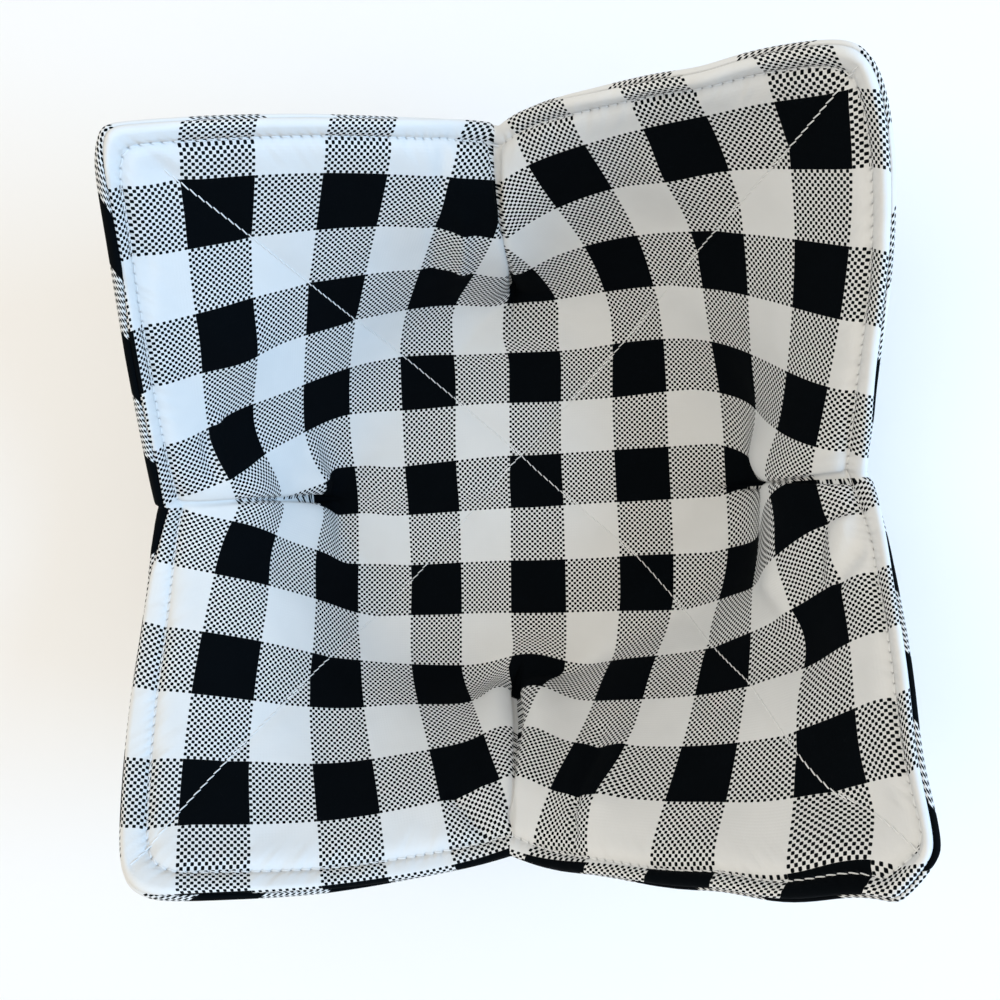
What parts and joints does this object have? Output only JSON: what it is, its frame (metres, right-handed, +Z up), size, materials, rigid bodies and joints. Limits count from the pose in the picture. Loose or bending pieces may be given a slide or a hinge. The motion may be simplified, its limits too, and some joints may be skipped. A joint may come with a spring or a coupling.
{
  "type": "bowl cozy",
  "caption": "Padded, quilted cloth holder for a bowl: a square with a dart in the middle of each side, standing as a shallow bowl with raised corners.",
  "frame": {"origin": "centre of the flat underside of the floor", "axes": "+Z up out of the bowl, +X along the checks to the right and +Y along the checks to the back, darts on both axes and raised corners between them"},
  "size_m": [0.1856, 0.1875, 0.1107],
  "materials": {
    "inner_cloth": "black and white buffalo check cotton, matt",
    "outer_cloth": "black and white buffalo check cotton, matt"
  },
  "bodies": {
    "root": {"inner_panel": "inner_cloth", "outer_panel": "outer_cloth"}
  },
  "joints": []
}
